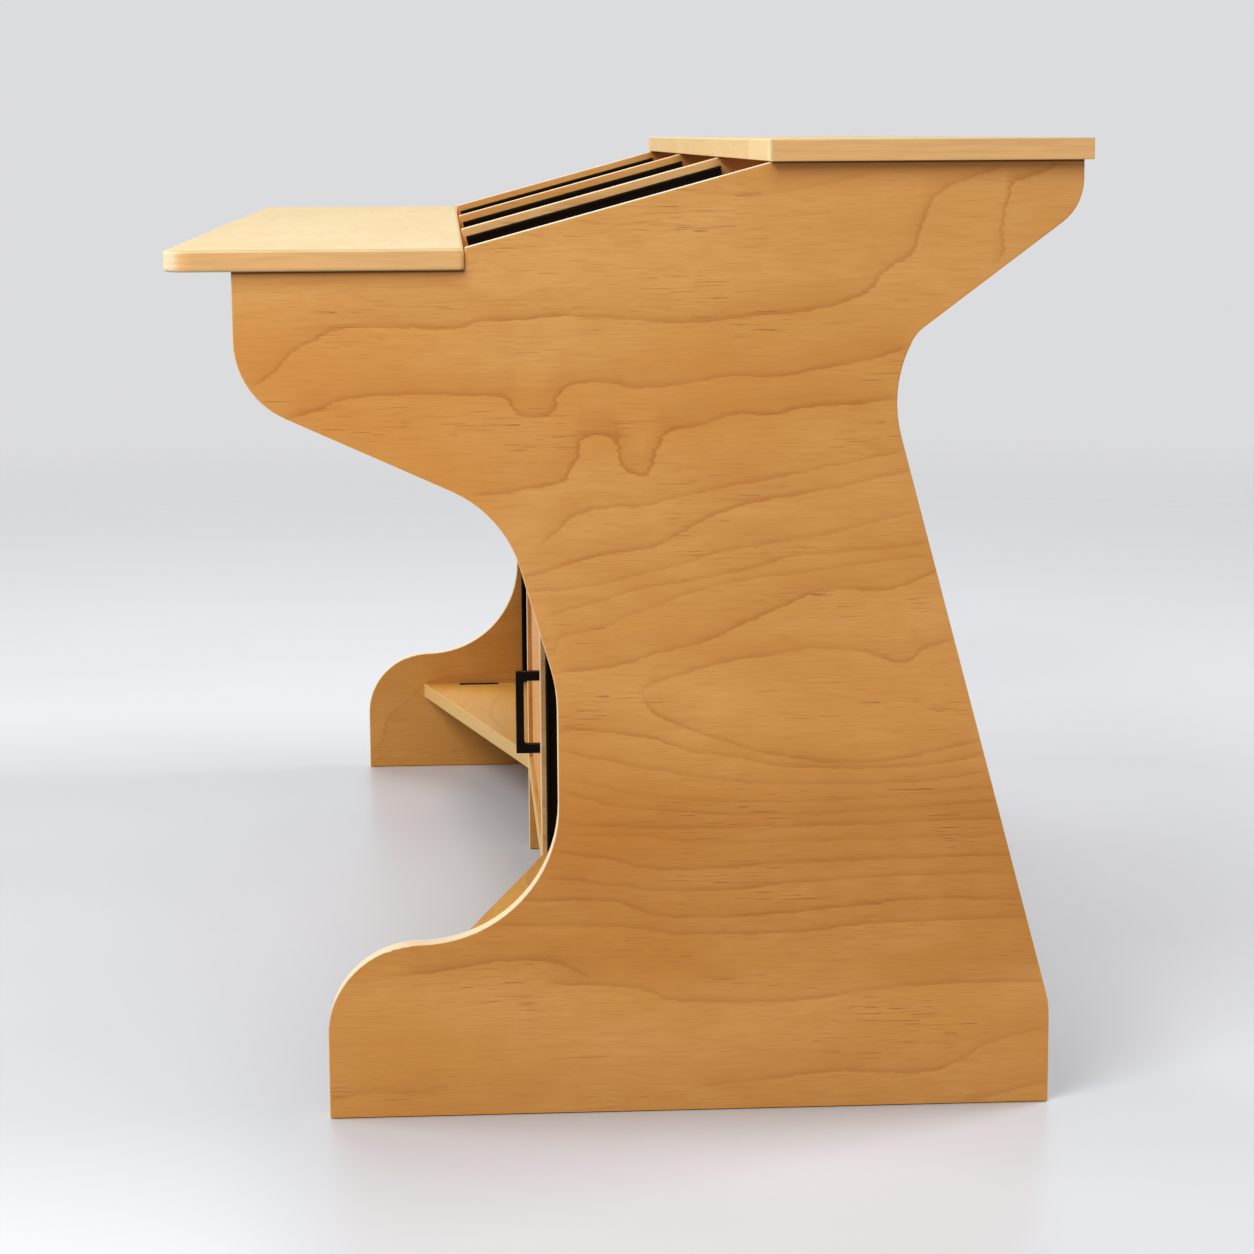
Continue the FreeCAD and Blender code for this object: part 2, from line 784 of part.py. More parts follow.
def all_dowel_lines():
    """Every dowel by the name of its node."""
    groups = {kind + "_dowels": bay_dowel_lines(kind) for kind in bay_dowel_places(middle_bay)}
    groups["desktop_dowels"] = upright_dowel_lines(desktop_underside, arm_y, desktop_rear_y,
                                                   desktop_dowel_shares)
    groups["top_shelf_dowels"] = upright_dowel_lines(top_underside, slope_top_y, tail_y, top_dowel_shares)
    return groups


def dowels(lines):
    """Wooden dowels with their end play at both ends."""
    return Part.makeCompound([rod(start.add(direction * dowel_clearance), direction, dowel_radius,
                                  length - 2 * dowel_clearance) for start, direction, length in lines])


def dowel_bores(lines):
    """Holes for the dowels."""
    return [rod(start, direction, dowel_radius + dowel_clearance, length)
            for start, direction, length in lines]


def drilled(shape, bores):
    """Cut those bores that reach the shape."""
    near = [bore for bore in bores if bore.BoundBox.intersect(shape.BoundBox)]
    if not near:
        return shape
    return shape.cut(Part.makeCompound(near))


def rail_sets():
    """Name and making values of every rack rail."""
    rails = {}
    for bay, name in enumerate(bay_names):
        for side, side_name in ((-1, "left"), (1, "right")):
            rails["slope_rail_%s_%s" % (name, side_name)] = (
                side, rack_end_play / 2, slope_units, slope_rail_recess, slope_placement(bay))
            if bay != middle_bay:
                rails["lower_rail_%s_%s" % (name, side_name)] = (
                    side, lower_rail_lift, lower_units, lower_rail_recess, lower_placement(bay))
    return rails


def build():
    """All nodes by name."""
    nodes = {}
    dowel_groups = all_dowel_lines()
    bores = []
    for lines in dowel_groups.values():
        bores += dowel_bores(lines)
    screw_seats = {"slope_rail_screws": [], "lower_rail_screws": []}
    for name, values in rail_sets().items():
        group = "slope_rail_screws" if name.startswith("slope") else "lower_rail_screws"
        screw_seats[group] += rail_screw_seats(*values)
        nodes[name] = rack_rail(*values)
    screw_seats["catch_screws"] = catch_screw_seats()
    for group, seats in screw_seats.items():
        nodes[group] = Part.makeCompound([wood_screw(*seat) for seat in seats])
        bores += [screw_bore(*seat) for seat in seats]
    bores += bush_bores()

    for index, name in enumerate(["side_panel_left", "divider_left", "divider_right", "side_panel_right"]):
        upright = side_panel(index) if index in (0, bay_count) else divider(index)
        nodes[name] = drilled(upright, bores + glide_bores(index))
    for bay, name in enumerate(bay_names):
        nodes["bottom_shelf_" + name] = drilled(bottom_shelf(bay), bores)
        nodes["bay_floor_" + name] = drilled(bay_floor(bay), bores)
        nodes["front_wall_" + name] = drilled(front_wall(bay), bores)
        nodes["back_panel_" + name] = drilled(back_panel(bay), bores)
        nodes["cross_rail_" + name] = drilled(cross_rail(bay), bores)
    nodes["desktop"] = drilled(desktop(), bores)
    nodes["top_shelf"] = drilled(top_shelf(), bores)
    nodes["top_lipping"] = top_lipping()
    nodes["cable_grommets"] = cable_grommets()
    for name, lines in dowel_groups.items():
        nodes[name] = dowels(lines)

    nodes["door"] = door()
    nodes["door_pivot_pins"] = pivot_pins()
    nodes["pivot_bushes"] = pivot_bushes()
    nodes["door_pull"] = pull()
    nodes["pull_screws"] = pull_screws()
    nodes["door_catch"] = door_catch()
    nodes["strike_plate"] = strike_plate()
    nodes["strike_screw"] = wood_screw(*strike_screw_seat())
    nodes["floor_glides"] = floor_glides()
    return nodes


os.makedirs("parts", exist_ok=True)
for node_name, node_shape in build().items():
    node_shape.translate(V(0, 0, glide_height))
    node_shape.exportStep("parts/%s.step" % node_name)
    print(node_name, len(node_shape.Solids), node_shape.isValid(), round(node_shape.Volume))
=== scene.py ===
"""Studio rack desk: finishes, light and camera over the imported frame."""
import json
import math
from collections import namedtuple

import bpy
from mathutils import Matrix, Vector

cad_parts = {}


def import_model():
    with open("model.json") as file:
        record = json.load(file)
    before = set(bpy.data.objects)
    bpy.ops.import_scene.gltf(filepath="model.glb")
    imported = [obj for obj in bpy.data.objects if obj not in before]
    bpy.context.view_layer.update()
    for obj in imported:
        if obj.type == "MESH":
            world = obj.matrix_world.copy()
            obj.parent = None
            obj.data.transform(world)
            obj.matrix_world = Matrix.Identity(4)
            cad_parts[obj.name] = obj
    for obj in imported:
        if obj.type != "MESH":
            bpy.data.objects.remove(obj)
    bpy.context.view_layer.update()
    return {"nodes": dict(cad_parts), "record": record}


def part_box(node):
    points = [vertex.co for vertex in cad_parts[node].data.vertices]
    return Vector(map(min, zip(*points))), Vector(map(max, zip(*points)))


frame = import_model()
nodes = frame["nodes"]


class Graph:
    """One procedural material and short ways to add nodes to it."""

    def __init__(self, name):
        self.material = bpy.data.materials.new(name)
        self.material.use_nodes = True
        self.tree = self.material.node_tree
        self.shader = self.tree.nodes["Principled BSDF"]
        coord = self.tree.nodes.new("ShaderNodeTexCoord")
        self.point = coord.outputs["Object"]
        self.x, self.y, self.z = self.split(self.point)
        self.nx, self.ny, self.nz = self.split(coord.outputs["Normal"])

    def put(self, socket, value):
        """Link a socket, or set a plain value on it."""
        if isinstance(value, bpy.types.NodeSocket):
            self.tree.links.new(value, socket)
        else:
            socket.default_value = value

    def split(self, vector):
        node = self.tree.nodes.new("ShaderNodeSeparateXYZ")
        self.put(node.inputs[0], vector)
        return node.outputs[0], node.outputs[1], node.outputs[2]

    def join(self, x, y, z):
        node = self.tree.nodes.new("ShaderNodeCombineXYZ")
        for socket, value in zip(node.inputs, (x, y, z)):
            self.put(socket, value)
        return node.outputs[0]

    def calc(self, operation, a, b=0.0, clamp=False):
        node = self.tree.nodes.new("ShaderNodeMath")
        node.operation = operation
        node.use_clamp = clamp
        for socket, value in zip(node.inputs, (a, b)):
            self.put(socket, value)
        return node.outputs[0]

    def add(self, a, b):
        return self.calc("ADD", a, b)

    def less(self, a, b):
        return self.calc("SUBTRACT", a, b)

    def times(self, a, b):
        return self.calc("MULTIPLY", a, b)

    def over(self, a, b, clamp=False):
        return self.calc("DIVIDE", a, b, clamp)

    def absolute(self, a):
        return self.calc("ABSOLUTE", a)

    def step(self, value, low, high, to_low=0.0, to_high=1.0):
        """Smooth step from low to high."""
        node = self.tree.nodes.new("ShaderNodeMapRange")
        node.interpolation_type = "SMOOTHSTEP"
        for socket, entry in zip(node.inputs, (value, low, high, to_low, to_high)):
            self.put(socket, entry)
        return node.outputs[0]

    def window(self, value, start, stop, outside, inside):
        """1 between start and stop; each end softens from outside it to inside it."""
        rise = self.step(value, start - outside, start + inside)
        fall = self.step(value, stop + outside, stop - inside)
        return self.times(rise, fall)

    def noise(self, vector, scale=1.0, detail=3.0, rough=0.5, warp=0.0):
        node = self.tree.nodes.new("ShaderNodeTexNoise")
        self.put(node.inputs["Vector"], vector)
        node.inputs["Scale"].default_value = scale
        node.inputs["Detail"].default_value = detail
        node.inputs["Roughness"].default_value = rough
        node.inputs["Distortion"].default_value = warp
        return node.outputs[0]

    def stretched(self, axes, scales, **options):
        """Noise with its own number of cells per metre along each of three axes."""
        return self.noise(self.join(*map(self.times, axes, scales)), **options)

    def mix(self, factor, a, b, blend="MIX"):
        node = self.tree.nodes.new("ShaderNodeMix")
        node.data_type = "RGBA"
        node.blend_type = blend
        factor_input, first_colour, second_colour = node.inputs["Factor"], node.inputs[6], node.inputs[7]
        self.put(factor_input, factor)
        self.put(first_colour, a)
        self.put(second_colour, b)
        return node.outputs[2]

    def bump(self, height, strength, distance):
        node = self.tree.nodes.new("ShaderNodeBump")
        self.put(node.inputs["Height"], height)
        node.inputs["Strength"].default_value = strength
        node.inputs["Distance"].default_value = distance
        self.put(self.shader.inputs["Normal"], node.outputs[0])

    def curve(self, value, points):
        """Drawn response curve over 0 to 1."""
        node = self.tree.nodes.new("ShaderNodeFloatCurve")
        self.put(node.inputs["Value"], value)
        line = node.mapping.curves[0]
        line.points[0].location = points[0]
        line.points[1].location = points[-1]
        for place in points[1:-1]:
            line.points.new(*place)
        node.mapping.update()
        return node.outputs[0]

    def surface(self, colour, roughness, specular):
        self.put(self.shader.inputs["Base Color"], colour)
        self.put(self.shader.inputs["Roughness"], roughness)
        self.shader.inputs["Specular IOR Level"].default_value = specular


def tint(rgb, factor):
    """Colour made lighter or darker, with alpha."""
    return tuple(min(1.0, channel * factor) for channel in rgb) + (1.0,)


def tones(rgb, factors):
    """Colour with its own factor for red, green and blue, with alpha."""
    return tuple(channel * factor for channel, factor in zip(rgb, factors)) + (1.0,)


# Layers of the grain: cells per metre along, across and into the board, limits in the noise, strength, tone
Layer = namedtuple("Layer", "scales low high strength tone options")
grain_layers = {
    "mottle": Layer((28, 70, 20), 0.34, 0.68, 0.42, (0.93, 0.86, 0.74), {"detail": 3, "warp": 0.6}),
    "streak": Layer((4, 80, 30), 0.42, 0.72, 0.22, (0.90, 0.84, 0.74), {"detail": 4, "rough": 0.6}),
    "fibre": Layer((34, 520, 60), 0.46, 0.66, 0.26, (0.84, 0.76, 0.64), {"detail": 3, "rough": 0.6}),
    "pore": Layer((44, 820, 90), 0.60, 0.72, 0.30, (0.70, 0.58, 0.46), {"detail": 0}),
}
ring_tone = (0.68, 0.52, 0.36)
fleck_tone = (0.36, 0.24, 0.16)


def clouds(g, axes, face, cloudy):
    """Broad light and dark clouds in the face colour."""
    dark_change, light_change = (-0.05, -0.11, -0.22), (0.05, 0.10, 0.24)
    dark = tones(face, [1 + cloudy * change for change in dark_change])
    light = tones(face, [1 + cloudy * change for change in light_change])
    return g.mix(g.step(g.stretched(axes, (4.5, 9, 5), detail=3), 0.30, 0.68), dark, light)


def dark_flecks(g, axes):
    """Short dark dashes along the grain, which gather in some places."""
    dash = g.stretched(axes, (30, 1150, 90), detail=1)
    gathering = g.stretched(axes, (7, 24, 9), detail=2)
    dash_limit = g.step(gathering, 0.42, 0.66, 0.80, 0.65)
    return g.step(g.less(dash, dash_limit), 0.0, 0.05)


# Painted shade below a joint with another board: its height, its two ends, then reach and strength of the
# painted shadow below it
JointShadow = namedtuple("JointShadow", "height start stop reach strength")


def painted_joint_shadow(g, axes, colour, face, joint):
    """Painted shade below a joint: a soft painted shadow and a thin dark line of painted contact shadow."""
    painted_shade_tone, painted_shadow_line_tone = (0.38, 0.25, 0.16), (0.26, 0.14, 0.07)
    line_strength, line_fade, line_full = 0.9, 0.0024, 0.0012
    upper_edge = -0.0002
    along, height, _ = axes
    under = g.less(joint.height, height)
    below = g.step(under, upper_edge, 0.0)
    shade_length = g.window(along, joint.start, joint.stop, outside=0.012, inside=0.008)
    shade = g.step(under, joint.reach, 0.0, 0.0, joint.strength)
    colour = g.mix(g.times(g.times(shade_length, below), shade), colour, tones(face, painted_shade_tone))
    line_length = g.window(along, joint.start, joint.stop, outside=0.001, inside=0.001)
    line = g.step(under, line_fade, line_full, 0.0, line_strength)
    return g.mix(g.times(g.times(line_length, below), line), colour, tones(face, painted_shadow_line_tone))


# Change of tone over the height of a board, from none at one height to full at the other
Band = namedtuple("Band", "none full face_tone edge_tone")


def wood(name, grain, across, depth, face, edge, figure, flecks=0.6, end=None, cloudy=1.0, joints=(),
         bands=()):
    """Lacquered veneer: grain along one axis, rings drawn by figure(), cut edges in a colour of their own
    that is partly painted highlight, painted shade below joints, bands of tone by height.
    """
    rough, spread, shine, pit = 0.5, 0.05, 0.2, -0.8
    g = Graph(name)
    places = {"x": g.x, "y": g.y, "z": g.z}
    normals = {"x": g.nx, "y": g.ny, "z": g.nz}
    axes = places[grain], places[across], places[depth]

    colour = clouds(g, axes, face, cloudy)
    shares = {"mottle": cloudy, "streak": 1.0, "fibre": 1.0, "pore": flecks}
    noises = {}
    for key, layer in grain_layers.items():
        noises[key] = g.stretched(axes, layer.scales, **layer.options)
        amount = g.times(g.step(noises[key], layer.low, layer.high), layer.strength * shares[key])
        colour = g.mix(amount, colour, tones(face, layer.tone))
    colour = g.mix(figure(g, *axes), colour, tones(face, ring_tone))
    fleck = dark_flecks(g, axes)
    colour = g.mix(g.times(fleck, flecks), colour, tones(face, fleck_tone))

    # Cut edges: their own paler edge wood, and in part a painted highlight of the arris catching the light
    edge_fibre = g.step(g.stretched(axes, (20, 20, 420), detail=3), 0.3, 0.7)
    edge_colour = g.mix(edge_fibre, tint(edge, 0.93), tint(edge, 1.04))
    # Bands of tone by height; on the uprights partly painted light falloff, painted sheen and painted light
    for band in bands:
        inside = g.step(places[across], band.none, band.full)
        colour = g.mix(inside, colour, g.mix(1.0, colour, band.face_tone, "MULTIPLY"))
        edge_colour = g.mix(inside, edge_colour, g.mix(1.0, edge_colour, band.edge_tone, "MULTIPLY"))
    # Painted shade below the joints with the desktop and the monitor shelf
    for joint in joints:
        colour = painted_joint_shadow(g, axes, colour, face, joint)
    if end:
        end_colour = g.mix(edge_fibre, tint(end, 0.93), tint(end, 1.05))
        on_end = g.step(g.absolute(normals[grain]), 0.75, 0.97)
        on_rear = g.step(normals[across], 0.05, 0.5)
        edge_colour = g.mix(on_end, edge_colour, end_colour)
        edge_colour = g.mix(on_rear, edge_colour, end_colour)
    on_edge = g.step(g.absolute(normals[depth]), 0.9, 0.55)
    colour = g.mix(on_edge, colour, edge_colour)

    gloss = g.step(g.add(noises["fibre"], noises["streak"]), 0.6, 1.4, rough + spread, rough - spread)
    g.surface(colour, gloss, shine)
    g.bump(g.add(noises["fibre"], g.times(fleck, pit)), strength=0.12, distance=0.0004)
    return g.material


def loose_figure(strength, spacing):
    """Figure of a rotary-cut veneer: wandering rings, dark on one side and fading on the other."""
    slow_sway, uneven_sway, tooth_sway = 0.30, 0.08, 0.004

    def figure(g, u, v, w):
        axes = u, v, w
        slow = g.stretched(axes, (1.9, 3.6, 1.3), detail=2, rough=0.4)
        uneven = g.stretched(axes, (0.4, 9, 2), detail=1)
        tooth = g.stretched(axes, (60, 240, 9), detail=2)
        sway = g.add(g.times(uneven, uneven_sway), g.times(tooth, tooth_sway))
        height = g.add(v, g.add(g.times(slow, slow_sway), sway))
        saw = g.calc("FRACT", g.over(height, spacing))
        line = g.times(g.step(saw, 0.0, 0.045), g.step(saw, 0.30, 0.05))
        fade = g.step(g.stretched(axes, (4, 8, 1), detail=2), 0.35, 0.62, 0.35, 1.0)
        return g.times(g.times(line, fade), strength)
    return figure


# Ring lines of the right side panel: strength, then places (y, z) along the line in millimetres
panel_rings = [
    (0.95, [(-315, 633), (-293, 648), (-283, 659), (-264, 671), (-236, 681), (-202, 681),
            (-142, 680), (-128, 685), (-91, 686), (-63, 689), (-33, 688), (47, 683), (105, 688), (142, 691),
            (174, 697), (195, 705), (210, 722), (236, 740), (243, 756), (248, 773), (257, 787), (275, 797),
            (314, 810)]),
    (0.90, [(-284, 607), (-258, 614), (-237, 622), (-173, 625), (-138, 624), (-112, 622),
            (-101, 615), (-90, 606), (-78, 605), (-66, 612), (-57, 626), (-43, 633), (-15, 633), (8, 629),
            (48, 632), (89, 638), (121, 637), (158, 643), (198, 650), (233, 660)]),
    (1.00, [(-134, 540), (-116, 540), (-80, 546), (-59, 550), (-50, 563), (-44, 579), (-40, 587),
            (-27, 590), (-15, 585), (-10, 571), (-1, 558), (10, 555), (18, 561), (24, 578), (32, 592),
            (60, 597), (84, 605), (121, 605), (142, 610), (184, 613), (223, 617)]),
    (0.70, [(-77, 496), (-60, 512), (-39, 525), (-11, 529), (5, 528), (34, 535), (79, 544),
            (121, 551), (158, 559), (198, 566), (231, 573)]),
    (0.80, [(-91, 469), (-60, 478), (-28, 487), (20, 495), (41, 506), (58, 515), (100, 530),
            (158, 540), (203, 549), (238, 556)]),
    (0.65, [(-88, 457), (-47, 460), (8, 471), (41, 479), (79, 490), (112, 495), (161, 502),
            (202, 512), (243, 521)]),
    (0.65, [(-74, 435), (-52, 442), (-30, 448), (8, 459), (51, 465), (102, 475), (134, 484),
            (175, 488), (216, 490), (255, 496)]),
    (0.50, [(-68, 404), (-60, 419), (-30, 424), (-3, 436), (19, 443), (51, 455), (96, 465),
            (142, 470), (185, 476), (255, 483)]),
    (0.85, [(-62, 389), (-19, 392), (24, 404), (62, 413), (96, 428), (134, 444), (170, 456),
            (217, 455), (241, 462), (262, 471)]),
    (0.80, [(6, 368), (9, 372), (19, 378), (41, 384), (79, 395), (123, 401), (151, 405), (184, 403),
            (212, 397), (231, 392), (248, 403), (275, 411)]),
    (0.90, [(6, 368), (10, 361), (16, 354), (32, 344), (73, 328), (129, 312), (163, 307),
            (218, 307), (259, 314), (299, 323)]),
    (0.80, [(-63, 338), (-31, 337), (2, 332), (51, 318), (96, 310), (134, 303), (190, 301),
            (245, 302), (301, 311)]),
    (0.60, [(-63, 321), (-26, 312), (18, 302), (73, 293), (107, 289), (163, 288), (218, 287),
            (305, 295)]),
    (0.50, [(-64, 298), (-16, 285), (43, 276), (120, 272), (200, 274), (311, 282)]),
    (0.65, [(-64, 285), (-27, 274), (27, 266), (120, 261), (239, 265), (315, 270)]),
    (0.70, [(-66, 260), (4, 252), (82, 250), (160, 251), (319, 254)]),
    (0.45, [(-67, 247), (4, 244), (82, 237), (200, 238), (323, 240)]),
    (0.75, [(-73, 233), (-20, 224), (43, 215), (121, 218), (239, 221), (328, 222)]),
    (0.75, [(-81, 210), (-51, 207), (-16, 201), (62, 196), (140, 201), (219, 205), (332, 206)]),
    (0.80, [(-102, 190), (-35, 189), (3, 180), (62, 172), (121, 174), (200, 180), (259, 184),
            (338, 181)]),
    (0.60, [(-124, 168), (-51, 167), (3, 164), (62, 157), (121, 157), (200, 163), (343, 167)]),
    (0.70, [(-197, 126), (-154, 131), (-114, 137), (-75, 136), (-51, 128), (-37, 115)]),
    (0.70, [(-73, 116), (3, 111), (43, 98), (121, 96), (201, 104), (279, 109), (360, 108)]),
    (0.65, [(56, 21), (121, 27), (169, 32), (253, 30), (280, 38), (312, 55), (361, 67)]),
    (0.50, [(288, 3), (329, 11), (363, 20)]),
    (0.45, [(-268, 11), (-225, 22), (-169, 20)]),
    (0.40, [(42, 793), (95, 787), (137, 791), (167, 797), (202, 804)]),
    (0.90, [(307, 731), (312, 744), (314, 762), (315, 776), (319, 795), (330, 800), (350, 806),
            (360, 812)]),
]


def drawn_figure(turn, boldness):
    """Rings along drawn lines; with turn -1 the sheet is turned about, as on the left uprights."""
    sheet_height = 0.815
    slope_step, steepest_shade = 0.003, 1.5
    jag_sway, swing_sway = 0.009, 0.014
    tooth_height, swing_height = 0.004, 0.003
    edge_below, edge_above = -0.0012, 0.0005
    core_width, core_share = 0.0055, 0.62
    shade_width, shade_share = 0.034, 0.38
    margin, end_outside, end_inside = 0.001, 0.008, 0.012

    def ring_line(g, u, swayed_u, height, places):
        """One ring: a sharp lower edge, a narrow dark core and a wide fading shade above it."""
        line = [(y / 1000, z / 1000) for y, z in places]
        start, end = line[0][0], line[-1][0]
        low = min(z for _, z in line) - margin
        high = max(z for _, z in line) + margin
        points = [((y - start) / (end - start), (z - low) / (high - low)) for y, z in line]
        along = g.over(g.less(swayed_u, start), end - start, clamp=True)
        here = g.curve(along, points)
        ahead = g.curve(g.add(along, slope_step / (end - start)), points)
        slope = g.times(g.less(ahead, here), (high - low) / slope_step)
        steep = g.calc("SQRT", g.add(g.times(slope, slope), 1.0))
        rise = g.less(height, g.add(g.times(here, high - low), low))
        distance = g.over(rise, steep)
        core = g.step(distance, core_width, 0.0, 0.0, core_share)
        shade_distance = g.over(rise, g.calc("MINIMUM", steep, steepest_shade))
        shade = g.step(shade_distance, shade_width, 0.0, 0.0, shade_share)
        ring = g.times(g.step(distance, edge_below, edge_above), g.add(core, shade))
        return g.times(ring, g.window(u, start, end, end_outside, end_inside))

    def figure(g, grain_u, grain_v, w):
        u = g.times(grain_u, turn)
        v = grain_v if turn == 1 else g.less(sheet_height, grain_v)
        axes = u, v, w
        jag = g.less(g.stretched(axes, (14, 480, 9), detail=2, rough=0.7), 0.5)
        tooth = g.less(g.stretched(axes, (70, 260, 9), detail=2, rough=0.6), 0.5)
        swing = g.less(g.stretched(axes, (24, 30, 9), detail=2), 0.5)
        swayed_u = g.add(u, g.add(g.times(jag, jag_sway), g.times(swing, swing_sway)))
        height = g.add(v, g.add(g.times(tooth, tooth_height), g.times(swing, swing_height)))
        fade = g.step(g.stretched(axes, (14, 20, 1), detail=2), 0.35, 0.65, 0.6, 1.0)
        total = 0.0
        for strength, places in panel_rings:
            ring = ring_line(g, u, swayed_u, height, places)
            total = g.calc("MAXIMUM", total, g.times(ring, strength))
        return g.times(g.times(total, fade), boldness)
    return figure


def lipping(name, colour, seam):
    """Front lipping in two lengths: the short one is a little paler, with a thin line between them."""
    grain_tone, patch_tone = (0.95, 0.92, 0.86), (0.96, 0.92, 0.84)
    short_tone, seam_tone = (1.08, 1.12, 1.18), (0.72, 0.60, 0.45)
    change_width, seam_fade, seam_full = 0.0002, 0.0016, 0.0004
    g = Graph(name)
    axes = g.x, g.y, g.z
    fibre = g.stretched(axes, (20, 300, 420), detail=3)
    patch = g.times(g.step(g.stretched(axes, (9, 9, 14), detail=2), 0.45, 0.7), 0.5)
    on_short = g.step(g.x, seam - change_width, seam + change_width)
    on_seam = g.step(g.absolute(g.less(g.x, seam)), seam_fade, seam_full)
    shade = g.mix(g.step(fibre, 0.35, 0.7), tint(colour, 1.03), tones(colour, grain_tone))
    shade = g.mix(patch, shade, tones(colour, patch_tone))
    shade = g.mix(on_short, shade, tones(colour, short_tone))
    shade = g.mix(on_seam, shade, tones(colour, seam_tone))
    g.surface(shade, g.step(fibre, 0.3, 0.7, 0.6, 0.5), specular=0.15)
    g.bump(fibre, strength=0.1, distance=0.0003)
    return g.material


def speckled(name, colour, rough, metal=0.0, grain=900.0, specular=0.5):
    """Fine-grained coat, plastic or plated metal."""
    spread = 0.06
    g = Graph(name)
    fine = g.noise(g.point, grain, detail=2)
    wear = g.noise(g.point, 40, detail=4)
    shade = g.mix(g.step(wear, 0.3, 0.7), tint(colour, 0.85), tint(colour, 1.15))
    gloss = g.step(g.add(fine, wear), 0.6, 1.4, rough - spread, rough + spread)
    g.surface(shade, gloss, specular)
    g.shader.inputs["Metallic"].default_value = metal
    g.bump(fine, strength=0.15, distance=0.0003)
    return g.material


honey = (0.775, 0.36, 0.093)
golden = (0.62, 0.29, 0.067)
cream = (0.82, 0.65, 0.41)
straw = (0.42, 0.303, 0.112)
pale = (0.74, 0.56, 0.27)
peach = (0.86, 0.485, 0.192)
tan = (0.90, 0.55, 0.23)
amber = (0.65, 0.35, 0.072)
sand = (0.66, 0.42, 0.15)

# Lie of the grain: boards on edge along the depth, boards lying flat, boards facing the front
upright = {"grain": "y", "across": "z", "depth": "x"}
flat = {"grain": "x", "across": "y", "depth": "z"}
facing = {"grain": "x", "across": "z", "depth": "y"}

# Painted shade below the joints of the uprights with the desktop and the monitor shelf, reaching further and
# darker under the shelf on the inner boards
desktop_low, desktop_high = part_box("desktop")
shelf_low, shelf_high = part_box("top_shelf")
desktop_joint_shadow = JointShadow(desktop_low[2], desktop_low[1], desktop_high[1], reach=0.022, strength=0.42)
panel_joint_shadows = [desktop_joint_shadow, JointShadow(shelf_low[2], shelf_low[1], shelf_high[1], reach=0.026, strength=0.5)]
inner_joint_shadows = [desktop_joint_shadow, JointShadow(shelf_low[2], shelf_low[1], shelf_high[1], reach=0.06, strength=0.85)]

# Tones of the uprights by height: darker low down as painted light falloff, paler at the foot, paler and
# cooler at the top as painted sheen, browner edges on the slope
plain = (1, 1, 1, 1)
slope_edge = (0.80, 0.72, 0.62, 1)
panel_tone_and_light_bands = [
    Band(0.33, 0.25, (0.87, 0.80, 0.68, 1), plain),
    Band(0.14, 0.10, (1.12, 1.20, 1.38, 1), plain),
    Band(0.66, 0.80, (1.0, 1.05, 1.16, 1), slope_edge),
]
divider_bands = [Band(0.69, 0.74, plain, slope_edge)]
# Upper parts of the left uprights on the slope: much paler and cooler, painted light
slope_painted_light_bands = [Band(0.69, 0.74, (1.25, 1.40, 1.85, 1), slope_edge)]

lipping_seam = 0.574
finishes = {
    # Left uprights: a darker golden copy of the honey veneer, partly their own tone and partly painted shade
    "upright_veneer": wood("upright_veneer", **upright, face=golden, edge=cream,
                           figure=drawn_figure(turn=-1, boldness=0.35), joints=inner_joint_shadows,
                           bands=slope_painted_light_bands),
    "top_veneer": wood("top_veneer", **flat, face=straw, edge=cream, end=peach,
                       figure=loose_figure(strength=0.12, spacing=0.045), flecks=0.15, cloudy=0.3),
    "inner_veneer": wood("inner_veneer", **facing, face=honey, edge=cream,
                         figure=loose_figure(strength=0.4, spacing=0.05)),
    "edge_lipping": lipping("edge_lipping", pale, lipping_seam),
    "dowel_wood": wood("dowel_wood", **facing, face=straw, edge=cream,
                       figure=loose_figure(strength=0.1, spacing=0.004)),
    "black_rails": speckled("black_rails", (0.005, 0.005, 0.005), rough=0.62, specular=0.2),
    "black_screws": speckled("black_screws", (0.008, 0.008, 0.008), rough=0.5, metal=0.2),
    "black_pull": speckled("black_pull", (0.004, 0.004, 0.004), rough=0.55, specular=0.12),
    "plated_steel": speckled("plated_steel", (0.62, 0.62, 0.60), rough=0.32, metal=1.0, grain=300.0),
    "bush_plastic": speckled("bush_plastic", (0.05, 0.05, 0.05), rough=0.5),
    "catch_plastic": speckled("catch_plastic", (0.24, 0.13, 0.06), rough=0.5),
    "glide_plastic": speckled("glide_plastic", (0.02, 0.02, 0.02), rough=0.5),
    # Black rubber grommet lining the cable notch; its black partly stands in for the shade inside the notch
    "grommet_rubber": speckled("grommet_rubber", (0.006, 0.006, 0.006), rough=0.7, specular=0.2),
}

# Boards with a finish of their own in place of their slot's
flat_veneer = wood("flat_veneer", **flat, face=amber, edge=sand,
                   figure=loose_figure(strength=0.3, spacing=0.05))
own_finishes = {
    "side_panel_right": wood("panel_veneer", **upright, face=honey, edge=cream,
                             figure=drawn_figure(turn=1, boldness=0.85), joints=panel_joint_shadows,
                             bands=panel_tone_and_light_bands),
    # divider_right: paler tan veneer, partly its own tone and partly painted light on its brighter-lit face
    # in the right bay
    "divider_right": wood("divider_veneer", **upright, face=tan, edge=cream,
                          figure=loose_figure(strength=0.4, spacing=0.055), joints=inner_joint_shadows,
                          bands=divider_bands),
}
for place in ("left", "middle", "right"):
    own_finishes["bottom_shelf_" + place] = flat_veneer
    own_finishes["bay_floor_" + place] = flat_veneer

for entry in frame["record"]["subparts"]:
    finish = own_finishes.get(entry["node"], finishes[entry["material_slot"]])
    mesh = nodes[entry["node"]].data
    if not mesh.materials:
        mesh.materials.append(finish)
    for index in range(len(mesh.materials)):
        mesh.materials[index] = finish


